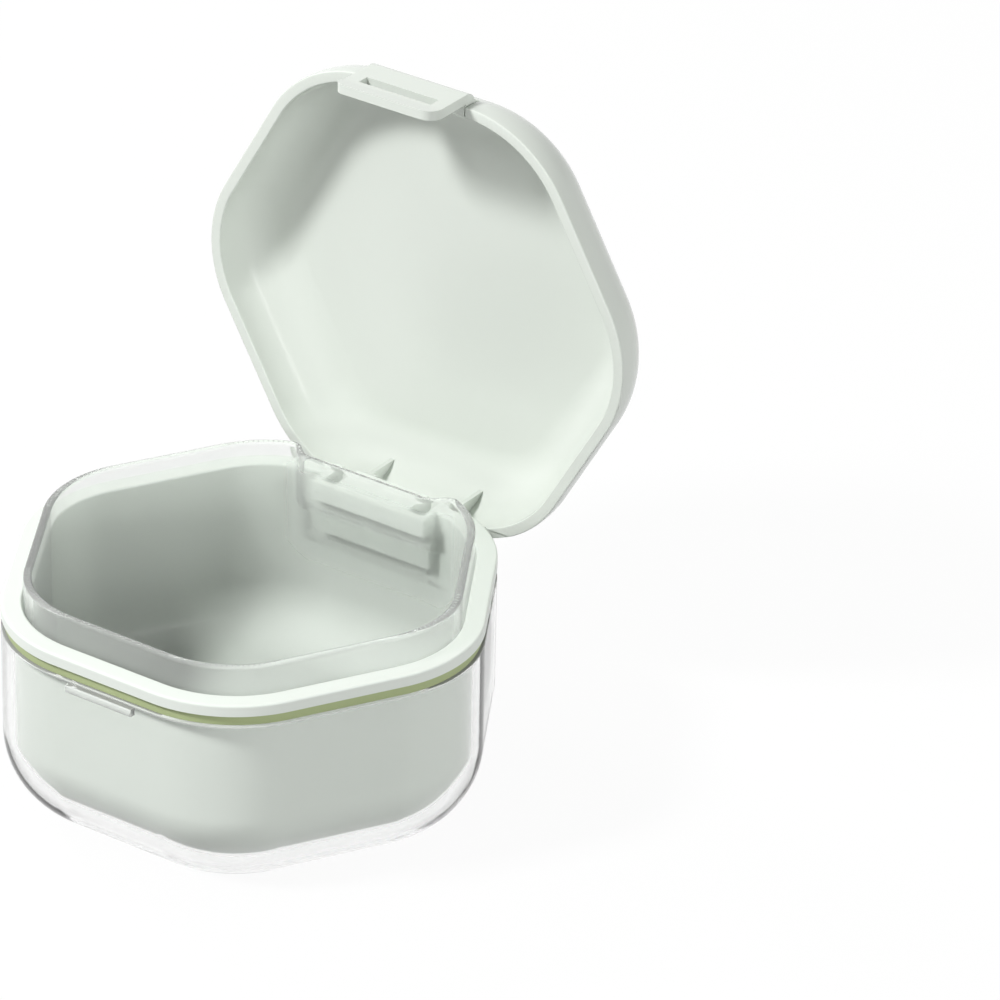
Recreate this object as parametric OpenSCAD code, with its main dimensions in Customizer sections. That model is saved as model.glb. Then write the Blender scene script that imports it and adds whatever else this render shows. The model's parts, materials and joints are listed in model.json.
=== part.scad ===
// Hexagonal denture case: clear outer shell, opaque inner cup, silicone seal band,
// clear lift-out basket, hinged lid with a cap panel, and a front latch.
// Millimetres, +Z up. The origin is the middle of the resting face, the latch faces -Y
// and the hinge lies along X at the back. The case is drawn with its lid standing open.

/* [Outline] */
// Distance across the front and back flats
across_flats = 88; // [70:1:120]
// Plan radius of the six rounded corners
corner_r = 25; // [18:0.5:28]
// Straight steps in each rounded corner
corner_steps = 8; // [4:1:10]

/* [Clear shell] */
// Height of the clear shell
shell_h = 37.3; // [30:0.5:60]
// Wall of the clear shell
shell_wall = 2.2; // [1.6:0.1:3]
// Floor of the clear shell
shell_floor = 3; // [2:0.1:4]
// Radius of the bottom edge
base_round = 15.5; // [8:0.5:16]
// Half width of the catch that the latch hooks over
catch_half_w = 7.4; // [5:0.1:9]
// How far the catch stands proud of the front flat
catch_proud = 1.3; // [1:0.1:1.6]
// Height of the catch
catch_h = 1.5; // [1:0.1:1.8]

/* [Seal band] */
// Height of the band that shows between shell and collar
seal_h = 2; // [1:0.1:4]
// How far the band lies back from the side
seal_inset = 0.6; // [0.2:0.1:1]

/* [Inner cup] */
// Gap between clear shell and inner cup
cup_gap = 0.25; // [0.2:0.05:1]
// Wall of the inner cup
cup_wall = 1.4; // [1:0.1:2.5]
// Gap between the shell's floor and the cup's floor
cup_lift = 0.6; // [0.3:0.1:4]
// Floor of the inner cup
cup_floor = 1.6; // [1:0.1:3]
// Height of the collar on top of the cup
collar_h = 2.3; // [1.5:0.1:5]

/* [Basket] */
// Running gap between cup and basket
basket_gap = 0.3; // [0.25:0.05:1]
// Wall of the basket
basket_wall = 1.6; // [1.2:0.1:2.2]
// Floor of the basket
basket_floor = 1.5; // [1:0.1:3]
// How far the basket's rim stands above the collar
rim_h = 5.4; // [3:0.1:6]

/* [Lid] */
// Height of the lid with its panel
lid_h = 14.6; // [12:0.1:20]
// Wall of the lid
lid_wall = 2.2; // [1.8:0.1:2.6]
// Total thickness of the lid's top
lid_top = 2.4; // [2.2:0.1:3]
// Plan width of the rounded shoulder
shoulder_w = 12.8; // [8:0.2:14]
// Straight wall below the shoulder
lid_straight = 1; // [0.6:0.1:3]
// Gap between collar and closed lid
seam_gap = 0.1; // [0.05:0.05:0.4]
// Angle that the lid opens to
lid_open = 90; // [70:1:100]

/* [Lid panel] */
// Inset of the panel's edge from the side
panel_inset = 6.5; // [5:0.1:9]
// Thickness of the panel
panel_t = 1.1; // [0.8:0.1:1.2]
// Gap between panel and lid
panel_gap = 0.15; // [0.1:0.05:0.3]

/* [Hinge] */
// Inset of the hinge axis from the back flat
hinge_in = 2; // [1.9:0.1:3]
// Depth of the hinge axis below the collar's top
hinge_drop = 7.4; // [6.5:0.1:9]
// Radius of the hinge pin
hinge_pin_r = 0.9; // [0.7:0.05:1]
// Radius of the arm's eye round the pin
eye_r = 2; // [1.8:0.1:2]
// Middle of each hinge arm from the centre plane
arm_x = 9.8; // [8:0.1:10]
// Width of each hinge arm
arm_w = 2.4; // [2:0.1:2.6]
// Width of the rib that carries the arm inside the lid
rib_w = 0.9; // [0.8:0.1:2]
// How far the rib lies outside the middle of its arm
rib_shift = 0.5; // [0:0.1:0.6]
// Height of the rib above the lid's inner wall
rib_reach = 2.9; // [2.4:0.1:3.9]
// How far the arm stands in from the lid's inner wall
arm_reach = 3.9; // [3:0.1:4.2]
// Half width of the hinge block at the back of the cup
block_half_w = 12.8; // [12.5:0.1:15]
// Height of the deep upper part of the hinge block
block_head = 3.6; // [3:0.1:4]
// Wall between the arms' slots and the inside of the cup
block_skin = 1.6; // [1:0.1:2]

/* [Latch] */
// Half width of the latch
latch_half_w = 10.8; // [10:0.1:11.5]
// How far the latch stands proud of the front flat
latch_proud = 2.2; // [2.1:0.1:3]
// Thickness of the latch plate
latch_t = 1.9; // [1.6:0.1:2]
// Overall height of the latch
latch_h = 14.3; // [14:0.1:16]
// Radius of the latch's barrel
barrel_r = 1.7; // [1.6:0.05:1.9]
// Radius of the latch pin
latch_pin_r = 0.6; // [0.4:0.05:0.6]
// Radius of the latch's top edge
latch_top_r = 2.6; // [2:0.1:3]
// Plan radius of the latch's lower corners
latch_corner_r = 2.4; // [1:0.1:3]
// How far the finger lip flares out
lip_flare = 0.8; // [0:0.1:1.4]
// Height of the finger lip
lip_h = 3.9; // [3.4:0.1:4.2]
// Half width of the latch's window
window_half_w = 8; // [7.8:0.1:8.6]

/* [Hidden] */

side_y = across_flats / 2;
corner_at = (side_y - corner_r) / cos(30);
collar_z = shell_h + seal_h;
collar_top = collar_z + collar_h;
cup_out = shell_wall + cup_gap;
cup_in = cup_out + cup_wall;
basket_out = cup_in + basket_gap;
basket_in = basket_out + basket_wall;
basket_rest = 0.1;
cup_round = base_round - cup_out;
cup_floor_z = shell_floor + cup_lift;
basket_round = cup_round - cup_wall;
basket_z = cup_floor_z + cup_floor + basket_rest;
rim_z = collar_top + rim_h;
run_gap = 0.05;
part_gap = 0.3;
bite = 1;
deep = 200;
sliver = 0.01;

// Steps in the rounded bottom edges, outside and inside
shell_steps = [7, 6];
cup_steps = [6, 5];
basket_steps = [5, 4];

// Lid levels, given for the closed lid
lid_z = collar_top + seam_gap;
lid_end = collar_top + lid_h;
shoulder_z = lid_z + lid_straight;
shoulder_h = lid_end - shoulder_z;
inner_w = shoulder_w - lid_wall;
inner_h = shoulder_h - lid_top;
arc_steps = 9;
relief_h = 0.5;
relief_in = 3.1;

// Hinge, given for the closed lid
hinge_y = side_y - hinge_in;
hinge_z = collar_top - hinge_drop;
arm_in = side_y - lid_wall - arm_reach;
rib_in = side_y - lid_wall - rib_reach;
arm_slot_w = arm_w + 2 * part_gap;
flush = 0.1;
slot_room = 0.4;
slot_in = arm_in - slot_room;
block_in = slot_in - block_skin;
low_slot_in = hinge_y - eye_r - part_gap;
low_block_in = low_slot_in - block_skin;
block_back = hinge_y + eye_r - flush;
block_sole = 1.9;
block_z = hinge_z - eye_r - block_sole;
head_z = collar_top - block_head;
stop_gap = 0.15;
slot_z = hinge_z - eye_r - stop_gap;
arm_bend_z = head_z + block_skin - slot_room;
arm_bend_h = 0.8;
arm_join_z = lid_z + 1.5;
rib_top_gap = 1.6;
rib_root = 0.2;
pin_half = block_half_w - 2 * flush;

// The recess in the basket's back wall that clears the hinge block and its head
notch_gap = part_gap + basket_rest;
head_depth = side_y - basket_out - (block_in - notch_gap);
low_depth = side_y - basket_out - (low_block_in - notch_gap);
notch_flat = block_half_w + notch_gap;
notch_ramp = 5.5;
notch_end = notch_flat + notch_ramp;
notch_step_h = 1;
lift_room = 1.9;
head_step_z = head_z - lift_room;
low_step_z = block_z - lift_room;

// Latch, given for the closed lid
latch_y = -(side_y - lid_wall / 2);
latch_z = lid_z + barrel_r;
latch_top = latch_z + barrel_r;
latch_low = latch_top - latch_h;
front_y = -side_y - latch_proud;
back_y = front_y + latch_t;
window_sill = 0.4;
window_low = latch_low + lip_h + window_sill;
catch_seat = 0.45;
catch_z = window_low + catch_seat;
window_room = 1;
window_h = catch_h + window_room;
bay_half_w = latch_half_w + part_gap;
swing_room = 1.5;
bay_top = latch_top + swing_room;
bay_y = -side_y + lid_wall + 2;
latch_pin_grip = 3.4;
latch_pin_half = bay_half_w + latch_pin_grip;

// One ring of the rounded hexagon, drawn in by inset at the height z
function hex_ring(inset, z) = [
    for (k = [0:5]) for (j = [0:corner_steps])
        let (a = 60 * k - 30 + 60 * j / corner_steps)
        [corner_at * cos(60 * k) + (corner_r - inset) * cos(a),
         corner_at * sin(60 * k) + (corner_r - inset) * sin(a), z]
];

// Quarter arc from the point [inset + w, z] out and up to [inset, z + h]
function low_arc(inset, z, w, h, n) = [
    for (i = [0:n]) [inset + w * (1 - sin(90 * i / n)), z + h * (1 - cos(90 * i / n))]
];

// Quarter arc from [inset, z] up and in to [inset + w, z + h], from step a to step b of n
function top_arc(inset, z, w, h, n, a, b) = [
    for (i = [a:b]) [inset + w * (1 - cos(90 * i / n)), z + h * sin(90 * i / n)]
];

function flip(list) = [for (i = [len(list) - 1:-1:0]) list[i]];

// Skin over a stack of rings with as many points each, closed by flat ends
module stack(rings) {
    n = len(rings[0]);
    m = len(rings);
    points = [for (ring = rings) for (p = ring) p];
    walls = [for (i = [0:m - 2]) for (j = [0:n - 1])
        let (k = (j + 1) % n) [i * n + j, (i + 1) * n + j, (i + 1) * n + k, i * n + k]];
    low = [for (j = [0:n - 1]) j];
    high = [for (j = [n - 1:-1:0]) (m - 1) * n + j];
    polyhedron(points, concat([low], walls, [high]), convexity = 6);
}

module loft(profile) {
    stack([for (p = profile) hex_ring(p[0], p[1])]);
}

// Flat-ended ring between two insets
module hex_band(outer, inner, z, h) {
    translate([0, 0, z])
        linear_extrude(h)
            difference() {
                polygon([for (p = hex_ring(outer, 0)) [p[0], p[1]]]);
                polygon([for (p = hex_ring(inner, 0)) [p[0], p[1]]]);
            }
}

// Extrudes a drawing in the Y-Z plane along X, centred
module along_x(width) {
    rotate([90, 0, 90])
        linear_extrude(width, center = true)
            children();
}

module rod_x(r, half, y, z) {
    translate([-half, y, z])
        rotate([0, 90, 0])
            cylinder(r = r, h = 2 * half, $fn = 48);
}

module block(x0, x1, y0, y1, z0, z1) {
    translate([x0, y0, z0])
        cube([x1 - x0, y1 - y0, z1 - z0]);
}

// Turns a piece of the closed lid about the hinge to where it stands open
module lid_opened() {
    translate([0, hinge_y, hinge_z])
        rotate([-lid_open, 0, 0])
            translate([0, -hinge_y, -hinge_z])
                children();
}

// Recess left at the back of shell and band for the hinge block
module block_bay() {
    half = block_half_w + part_gap;
    block(-half, half, side_y - corner_r / 2, deep, block_z - part_gap, deep);
}

module outer_shell() {
    inner_round = base_round - shell_wall;
    profile = concat(
        low_arc(0, 0, base_round, base_round, shell_steps[0]),
        [[0, shell_h], [shell_wall, shell_h]],
        flip(low_arc(shell_wall, shell_floor, inner_round, inner_round, shell_steps[1]))
    );
    color([0.9, 0.95, 0.92, 0.45])
        union() {
            difference() {
                loft(profile);
                block_bay();
            }
            block(-catch_half_w, catch_half_w, -side_y - catch_proud,
                  -side_y + shell_wall / 2, catch_z, catch_z + catch_h);
        }
}

module seal_band() {
    color([0.65, 0.65, 0.5])
        difference() {
            hex_band(seal_inset, shell_wall, shell_h, seal_h);
            block_bay();
        }
}

module inner_cup() {
    inner_round = cup_round - cup_wall;
    profile = concat(
        low_arc(cup_out, cup_floor_z, cup_round, cup_round, cup_steps[0]),
        [[cup_out, collar_z], [0, collar_z], [0, collar_top], [cup_in, collar_top]],
        flip(low_arc(cup_in, cup_floor_z + cup_floor, inner_round, inner_round,
                     cup_steps[1]))
    );
    color([0.78, 0.85, 0.8])
        difference() {
            union() {
                loft(profile);
                block(-block_half_w, block_half_w, low_block_in, block_back,
                      block_z, collar_top);
                block(-block_half_w, block_half_w, block_in, side_y - bite,
                      head_z, collar_top);
            }
            for (side = [-1, 1])
                translate([side * arm_x, 0, 0]) {
                    block(-arm_slot_w / 2, arm_slot_w / 2, low_slot_in, deep, slot_z, deep);
                    block(-arm_slot_w / 2, arm_slot_w / 2, slot_in, deep,
                          arm_bend_z - part_gap, deep);
                }
            rod_x(hinge_pin_r + run_gap, deep, hinge_y, hinge_z);
        }
}

module hinge_pin() {
    color([0.75, 0.75, 0.77])
        rod_x(hinge_pin_r, pin_half, hinge_y, hinge_z);
}

// How far the back wall of the basket is pushed in at the point x of a ring
function notch_push(x, depth) =
    depth * min(1, max(0, (notch_end - abs(x)) / (notch_end - notch_flat)));

function basket_ring(inset, z, depth) = [
    for (p = hex_ring(inset, z))
        [p[0], p[1] - (p[1] > 0 ? notch_push(p[0], depth) : 0), z]
];

module basket() {
    inner_round = basket_round - basket_wall;
    wall = [[low_step_z - 2 * notch_step_h, 0], [low_step_z, low_depth],
            [head_step_z - notch_step_h, low_depth], [head_step_z, head_depth],
            [rim_z, head_depth]];
    low = low_arc(basket_out, basket_z, basket_round, basket_round, basket_steps[0]);
    high = low_arc(basket_in, basket_z + basket_floor, inner_round, inner_round,
                   basket_steps[1]);
    color([0.93, 0.96, 0.94, 0.5])
        stack(concat(
            [for (p = low) basket_ring(p[0], p[1], 0)],
            [for (w = wall) basket_ring(basket_out, w[0], w[1])],
            [for (w = flip(wall)) basket_ring(basket_in, w[0], w[1])],
            [for (p = flip(high)) basket_ring(p[0], p[1], 0)]
        ));
}

// Step of the shoulder's arc at which the panel's edge lies
panel_step = arc_steps * acos(1 - panel_inset / shoulder_w) / 90;

function shoulder_point(step, inset, drop) =
    [inset + (shoulder_w - inset) * (1 - cos(90 * step / arc_steps)),
     shoulder_z + (shoulder_h - drop) * sin(90 * step / arc_steps)];

// Middle of the lid's wall at the closed lid's height z
function wall_mid(z) =
    let (up = max(0, z - shoulder_z),
         out = shoulder_w * (1 - sqrt(max(0, 1 - pow(up / shoulder_h, 2)))),
         ins = lid_wall + inner_w * (1 - sqrt(max(0, 1 - pow(up / inner_h, 2)))))
    side_y - (out + ins) / 2;

module lid_shell() {
    seat = panel_t + panel_gap;
    edge = panel_inset - panel_gap;
    edge_step = arc_steps * acos(1 - edge / shoulder_w) / 90;
    seat_steps = [for (i = [0:3]) edge_step + (arc_steps - edge_step) * i / 3];
    profile = concat(
        flip(top_arc(lid_wall, shoulder_z, inner_w, inner_h, arc_steps, 0, arc_steps)),
        [[lid_wall, lid_z], [0, lid_z]],
        [for (i = [0:5]) shoulder_point(edge_step * i / 5, 0, 0)],
        [for (s = seat_steps)
            let (p = shoulder_point(s, 0, 0)) [p[0], p[1] - seat]]
    );
    difference() {
        loft(profile);
        block(-deep, deep, side_y - relief_in, deep, lid_z - bite, lid_z + relief_h);
    }
}

module hinge_arm() {
    rib_top = lid_end - lid_top - rib_top_gap;
    rib_levels = [for (i = [0:4]) rib_top + (arm_join_z - rib_top) * i / 4];
    translate([arm_x, 0, 0]) {
        along_x(arm_w)
            polygon([[hinge_y - eye_r, hinge_z], [hinge_y - eye_r, arm_bend_z],
                     [arm_in, arm_bend_z + arm_bend_h], [rib_in, arm_join_z],
                     [wall_mid(arm_join_z), arm_join_z], [hinge_y + eye_r, lid_z - bite],
                     [hinge_y + eye_r, hinge_z]]);
        rod_x(eye_r, arm_w / 2, hinge_y, hinge_z);
    }
    translate([arm_x + rib_shift, 0, 0])
        along_x(rib_w)
            polygon(concat([[rib_in, arm_join_z - bite], [rib_in, rib_top]],
                           [for (z = rib_levels) [max(rib_in + rib_root, wall_mid(z)), z]],
                           [[wall_mid(arm_join_z), arm_join_z - bite]]));
}

module lid() {
    color([0.85, 0.9, 0.86])
        lid_opened()
            difference() {
                union() {
                    lid_shell();
                    hinge_arm();
                    mirror([1, 0, 0])
                        hinge_arm();
                }
                rod_x(hinge_pin_r + run_gap, deep, hinge_y, hinge_z);
                rod_x(latch_pin_r + run_gap, latch_pin_half + sliver, latch_y, latch_z);
                block(-bay_half_w, bay_half_w, -side_y - bite, bay_y, lid_z - bite, bay_top);
            }
}

module lid_panel() {
    steps = [for (i = [0:4]) panel_step + (arc_steps - panel_step) * i / 4];
    top = [for (s = steps) shoulder_point(s, 0, 0)];
    profile = concat([for (p = flip(top)) [p[0], p[1] - panel_t]], top);
    color([0.84, 0.89, 0.85])
        lid_opened()
            loft(profile);
}

module latch_section() {
    round_y = front_y + latch_top_r;
    round_z = latch_top - latch_top_r;
    flare_z = latch_low + lip_h;
    polygon(concat(
        [[latch_y, latch_z], [latch_y, latch_top]],
        [for (i = [0:6]) [round_y - latch_top_r * sin(15 * i),
                          round_z + latch_top_r * cos(15 * i)]],
        [[front_y, flare_z], [front_y - lip_flare, latch_low],
         [back_y - lip_flare, latch_low], [back_y, flare_z], [back_y, latch_z - window_sill]]
    ));
    translate([latch_y, latch_z])
        circle(r = barrel_r, $fn = 48);
}

// Front view of the latch with its lower corners rounded
module latch_outline() {
    c = latch_half_w - latch_corner_r;
    low = latch_low + latch_corner_r;
    polygon(concat(
        [[latch_half_w, latch_top + bite], [-latch_half_w, latch_top + bite]],
        [for (i = [0:6]) [-c - latch_corner_r * cos(15 * i), low - latch_corner_r * sin(15 * i)]],
        [for (i = [0:6]) [c + latch_corner_r * sin(15 * i), low - latch_corner_r * cos(15 * i)]]
    ));
}

module latch() {
    color([0.83, 0.88, 0.84])
        lid_opened()
            difference() {
                intersection() {
                    along_x(2 * latch_half_w)
                        latch_section();
                    rotate([90, 0, 0])
                        linear_extrude(2 * side_y)
                            latch_outline();
                }
                block(-window_half_w, window_half_w, -deep, back_y + bite,
                      window_low, window_low + window_h);
                rod_x(latch_pin_r + run_gap, deep, latch_y, latch_z);
            }
}

module latch_pin() {
    color([0.75, 0.75, 0.77])
        lid_opened()
            rod_x(latch_pin_r, latch_pin_half, latch_y, latch_z);
}

outer_shell();
seal_band();
inner_cup();
hinge_pin();
basket();
lid();
lid_panel();
latch();
latch_pin();
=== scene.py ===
"""Hexagonal denture case with its lid standing open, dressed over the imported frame.

Sizes in the dataclasses are millimetres in the frame's own axes: the middle of the resting
face is the origin, the latch is at the front (-Y) and the hinge runs along X at the back.
Pieces of the lid are shaped closed and then swung open about the hinge.
"""

from __future__ import annotations

import json
import logging
import math
from dataclasses import dataclass, field
from enum import Enum
from typing import Callable, Sequence, Union

import bmesh
import bpy
from mathutils import Matrix, Vector

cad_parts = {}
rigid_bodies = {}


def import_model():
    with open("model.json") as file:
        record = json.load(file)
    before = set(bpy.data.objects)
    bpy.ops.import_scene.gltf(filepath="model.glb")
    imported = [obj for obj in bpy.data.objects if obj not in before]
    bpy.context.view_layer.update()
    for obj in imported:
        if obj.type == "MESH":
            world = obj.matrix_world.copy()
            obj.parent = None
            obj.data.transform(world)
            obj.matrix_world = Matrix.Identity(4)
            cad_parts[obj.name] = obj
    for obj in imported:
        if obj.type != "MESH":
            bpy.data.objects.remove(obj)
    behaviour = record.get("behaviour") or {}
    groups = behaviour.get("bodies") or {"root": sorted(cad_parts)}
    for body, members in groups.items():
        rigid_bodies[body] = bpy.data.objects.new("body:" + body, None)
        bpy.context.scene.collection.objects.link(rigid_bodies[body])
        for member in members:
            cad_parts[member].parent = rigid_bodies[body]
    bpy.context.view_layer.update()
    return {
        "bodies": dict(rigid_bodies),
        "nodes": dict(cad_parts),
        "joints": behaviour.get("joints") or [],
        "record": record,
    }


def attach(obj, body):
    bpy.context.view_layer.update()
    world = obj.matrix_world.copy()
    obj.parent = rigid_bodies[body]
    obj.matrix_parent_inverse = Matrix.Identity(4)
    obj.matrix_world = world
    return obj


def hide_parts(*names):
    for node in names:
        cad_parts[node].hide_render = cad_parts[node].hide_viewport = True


MM = 0.001
NEAR = 0.02
log = logging.getLogger("denture_case")

Point = tuple[float, float, float]
Colour = tuple[float, float, float]
Test = Callable[[Vector], bool]


class Body(Enum):
    """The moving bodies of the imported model."""

    BASE = "base"
    BASKET = "basket"
    LID = "lid"
    LATCH = "latch"


class Slot(Enum):
    """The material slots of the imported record."""

    CLEAR = "clear_plastic"
    BASKET = "basket_plastic"
    SAGE = "sage_plastic"
    LID = "lid_plastic"
    SILICONE = "silicone"
    STEEL = "pin_steel"


# ---------------------------------------------------------------- shader expressions


class Wire:
    """A shader socket that stands in a Python expression."""

    def __init__(self, graph: Graph, socket: bpy.types.NodeSocket) -> None:
        """Keeps the graph that the socket belongs to."""
        self.graph = graph
        self.socket = socket

    def _math(self, operation: str, left: Term, right: Term) -> Wire:
        """Adds one Math node."""
        return self.graph.add("ShaderNodeMath", {"operation": operation}, {0: left, 1: right})

    def __add__(self, other: Term) -> Wire:
        """Sum."""
        return self._math("ADD", self, other)

    __radd__ = __add__

    def __sub__(self, other: Term) -> Wire:
        """Difference."""
        return self._math("SUBTRACT", self, other)

    def __rsub__(self, other: Term) -> Wire:
        """Difference the other way round."""
        return self._math("SUBTRACT", other, self)

    def __mul__(self, other: Term) -> Wire:
        """Product."""
        return self._math("MULTIPLY", self, other)

    __rmul__ = __mul__


Term = Union[Wire, float]


class Graph:
    """The node tree of one material or world."""

    def __init__(self, tree: bpy.types.NodeTree) -> None:
        """Clears the tree."""
        self.tree = tree
        tree.nodes.clear()

    def add(self, kind: str, settings: dict | None = None, inputs: dict | None = None,
            out: int | str = 0) -> Wire:
        """Adds a node.

        Args:
            kind: the node's type name.
            settings: properties of the node, and "stops" for a ramp.
            inputs: values or wires by the socket's name or number.
            out: name or number of the output that is wanted.

        Returns:
            The output as a wire.
        """
        return Wire(self, self.node(kind, settings, inputs).outputs[out])

    def node(self, kind: str, settings: dict | None = None,
             inputs: dict | None = None) -> bpy.types.Node:
        """Adds a node, sets it and feeds its sockets, as add() does.

        Args:
            kind: the node's type name.
            settings: properties of the node, and "stops" for a ramp.
            inputs: values or wires by the socket's name or number.

        Returns:
            The node.
        """
        node = self.tree.nodes.new(kind)
        for name, value in (settings or {}).items():
            if name == "stops":
                ramp = node.color_ramp.elements
                while len(ramp) < len(value):
                    ramp.new(0.5)
                for element, (place, colour) in zip(ramp, value):
                    element.position = place
                    element.color = (*colour, 1.0)
            else:
                setattr(node, name, value)
        for name, value in (inputs or {}).items():
            if isinstance(value, Wire):
                self.tree.links.new(value.socket, node.inputs[name])
            elif isinstance(value, tuple) and len(value) == 3 and \
                    node.inputs[name].type == "RGBA":
                node.inputs[name].default_value = (*value, 1.0)
            else:
                node.inputs[name].default_value = value
        return node

    def show(self, surface: Wire, kind: str = "ShaderNodeOutputMaterial") -> None:
        """Sends a shader to the output."""
        self.node(kind, None, {"Surface": surface})

    def place(self) -> Wire:
        """The point on the piece, in metres from the frame's origin."""
        return self.add("ShaderNodeTexCoord", out="Object")

    def noise(self, size_mm: float, detail: float = 2.0) -> Wire:
        """Soft noise from 0 to 1 with features of that size."""
        return self.add("ShaderNodeTexNoise", None,
                        {"Vector": self.place(), "Scale": 1 / (size_mm * MM), "Detail": detail},
                        out="Fac")

    def axis(self, letter: str) -> Wire:
        """One coordinate of the point on the piece, in mm."""
        return 1000 * self.add("ShaderNodeSeparateXYZ", None, {"Vector": self.place()}, out=letter)

    def ramp(self, value: Wire, low: float, high: float, top: float = 1.0) -> Wire:
        """Rises evenly from 0 at low to top at high."""
        return self.add("ShaderNodeMapRange", None,
                        {"Value": value, "From Min": low, "From Max": high, "To Max": top})

    def blend(self, factor: Term, low: Colour | Wire, high: Colour | Wire) -> Wire:
        """Mixes two colours."""
        return self.add("ShaderNodeMix", {"data_type": "RGBA"},
                        {"Factor": factor, 6: low, 7: high}, out=2)


# ---------------------------------------------------------------- finishes


def new_graph(name: str) -> tuple[bpy.types.Material, Graph]:
    """A material with an empty node tree."""
    material = bpy.data.materials.new(name)
    material.use_nodes = True
    return material, Graph(material.node_tree)


@dataclass(frozen=True)
class MouldedPlastic:
    """Opaque glossy plastic with the faint mottle and orange peel of a moulding."""

    name: str
    colour: Colour
    deep: Colour
    roughness: float
    peel: float = 0.02

    def material(self) -> bpy.types.Material:
        """Builds the material.

        Returns:
            The finished material.
        """
        material, g = new_graph(self.name)
        mottle = g.noise(26, 3)
        colour = g.blend(mottle * 0.5, self.colour, self.deep)
        rough = self.roughness + (g.noise(9, 4) - 0.5) * 0.08
        bump = g.add("ShaderNodeBump", None,
                     {"Strength": self.peel, "Distance": 0.0001, "Height": g.noise(2.4, 2)})
        shader = g.add("ShaderNodeBsdfPrincipled", None, {
            "Base Color": colour, "Roughness": rough, "Normal": bump, "IOR": 1.5,
        })
        g.show(shader)
        return material


@dataclass(frozen=True)
class ClearPlastic:
    """Clear moulded plastic that lets the lamps' light through, with a painted highlight: a pale
    band painted along its rim and catch.
    """

    name: str
    tint: Colour
    shade: Colour
    film: Colour
    roughness: float
    ior: float
    clearness: float
    rim_z: float
    rim_fade: float
    # share of painted highlight along the rim: a pale band in place of its bright lit edge
    rim_highlight_paint: float
    # share of painted highlight on the catch
    catch_highlight_paint: float = 0.0
    blur: float = 0.0
    # colour of the painted highlight band on the rim and catch
    pale: Colour = (0.92, 0.935, 0.92)

    def material(self) -> bpy.types.Material:
        """Builds the material.

        Returns:
            The finished material.
        """
        material, g = new_graph(self.name)
        polish = 1 - 0.75 * g.ramp(g.axis("Z"), self.rim_z - 4, self.rim_z - 2)
        rough = (self.roughness + self._recess(g) * self.blur) * polish + g.noise(12, 3) * 0.02
        bump = g.add("ShaderNodeBump", None,
                     {"Strength": 0.003, "Distance": 0.0001, "Height": g.noise(4.0, 1)})
        colour = g.blend(g.noise(30, 2) * 0.4, self.tint, self.shade)
        shader = g.add("ShaderNodeBsdfPrincipled", None, {
            "Base Color": colour, "Roughness": rough, "Normal": bump, "IOR": self.ior,
            "Transmission Weight": self.clearness, "Specular IOR Level": 1.0,
        })
        # painted highlight: pale diffuse plastic mixed in along the rim and catch in place of
        # their bright lit edges
        edge = g.add("ShaderNodeBsdfPrincipled", None, {
            "Base Color": self.pale, "Roughness": rough + 0.15, "Normal": bump,
        })
        moulded = g.add("ShaderNodeMixShader", None, {0: self._painted_highlight_share(g), 1: shader, 2: edge})
        film = g.add("ShaderNodeBsdfTransparent", None, {"Color": self.film})
        lamp = g.add("ShaderNodeLightPath", out="Is Shadow Ray")
        mixed = g.add("ShaderNodeMixShader", None, {0: lamp, 1: moulded, 2: film})
        g.show(mixed)
        return material

    def _recess(self, g: Graph) -> Wire:
        """1 in the recess of the back wall, 0 elsewhere."""
        away = g.add("ShaderNodeMath", {"operation": "ABSOLUTE"}, {0: g.axis("X")})
        back = g.ramp(g.axis("Y"), 24, 34) * g.ramp(g.axis("Z"), 18, 27)
        return g.ramp(-1 * away, -24, -15) * back

    def _painted_highlight_share(self, g: Graph) -> Wire:
        """Share of painted highlight on the rim and the catch, as a pale band, from 0 to 1."""
        rim = g.ramp(g.axis("Z"), self.rim_z - self.rim_fade, self.rim_z, self.rim_highlight_paint)
        catch = g.ramp(-1 * g.axis("Y"), 44.02, 44.2, self.catch_highlight_paint)
        return g.add("ShaderNodeMath", {"operation": "MAXIMUM"}, {0: rim, 1: catch})


@dataclass(frozen=True)
class SoftSilicone:
    """Matt silicone rubber with a fine grain."""

    name: str
    colour: Colour
    deep: Colour

    def material(self) -> bpy.types.Material:
        """Builds the material.

        Returns:
            The finished material.
        """
        material, g = new_graph(self.name)
        colour = g.blend(g.noise(5, 3), self.colour, self.deep)
        bump = g.add("ShaderNodeBump", None,
                     {"Strength": 0.12, "Distance": 0.0001, "Height": g.noise(0.35, 3)})
        shader = g.add("ShaderNodeBsdfPrincipled", None, {
            "Base Color": colour, "Roughness": 0.5 + g.noise(2, 2) * 0.1, "Normal": bump,
        })
        g.show(shader)
        return material


@dataclass(frozen=True)
class DrawnSteel:
    """Steel wire with fine marks along its length."""

    name: str
    colour: Colour

    def material(self) -> bpy.types.Material:
        """Builds the material.

        Returns:
            The finished material.
        """
        material, g = new_graph(self.name)
        stretched = g.add("ShaderNodeMapping", None,
                          {"Vector": g.place(), "Scale": (0.1, 1.0, 1.0)})
        marks = g.add("ShaderNodeTexNoise", None,
                      {"Vector": stretched, "Scale": 6000.0, "Detail": 3.0}, out="Fac")
        dark = tuple(0.8 * c for c in self.colour)
        bump = g.add("ShaderNodeBump", None,
                     {"Strength": 0.1, "Distance": 0.00005, "Height": marks})
        shader = g.add("ShaderNodeBsdfPrincipled", None, {
            "Base Color": g.blend(marks, dark, self.colour), "Metallic": 1.0,
            "Roughness": 0.25 + marks * 0.12, "Normal": bump,
        })
        g.show(shader)
        return material


# ---------------------------------------------------------------- modelling bench


class Kind(Enum):
    """What a selection picks."""

    VERTS = "VERT"
    EDGES = "EDGE"
    FACES = "FACE"


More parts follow.
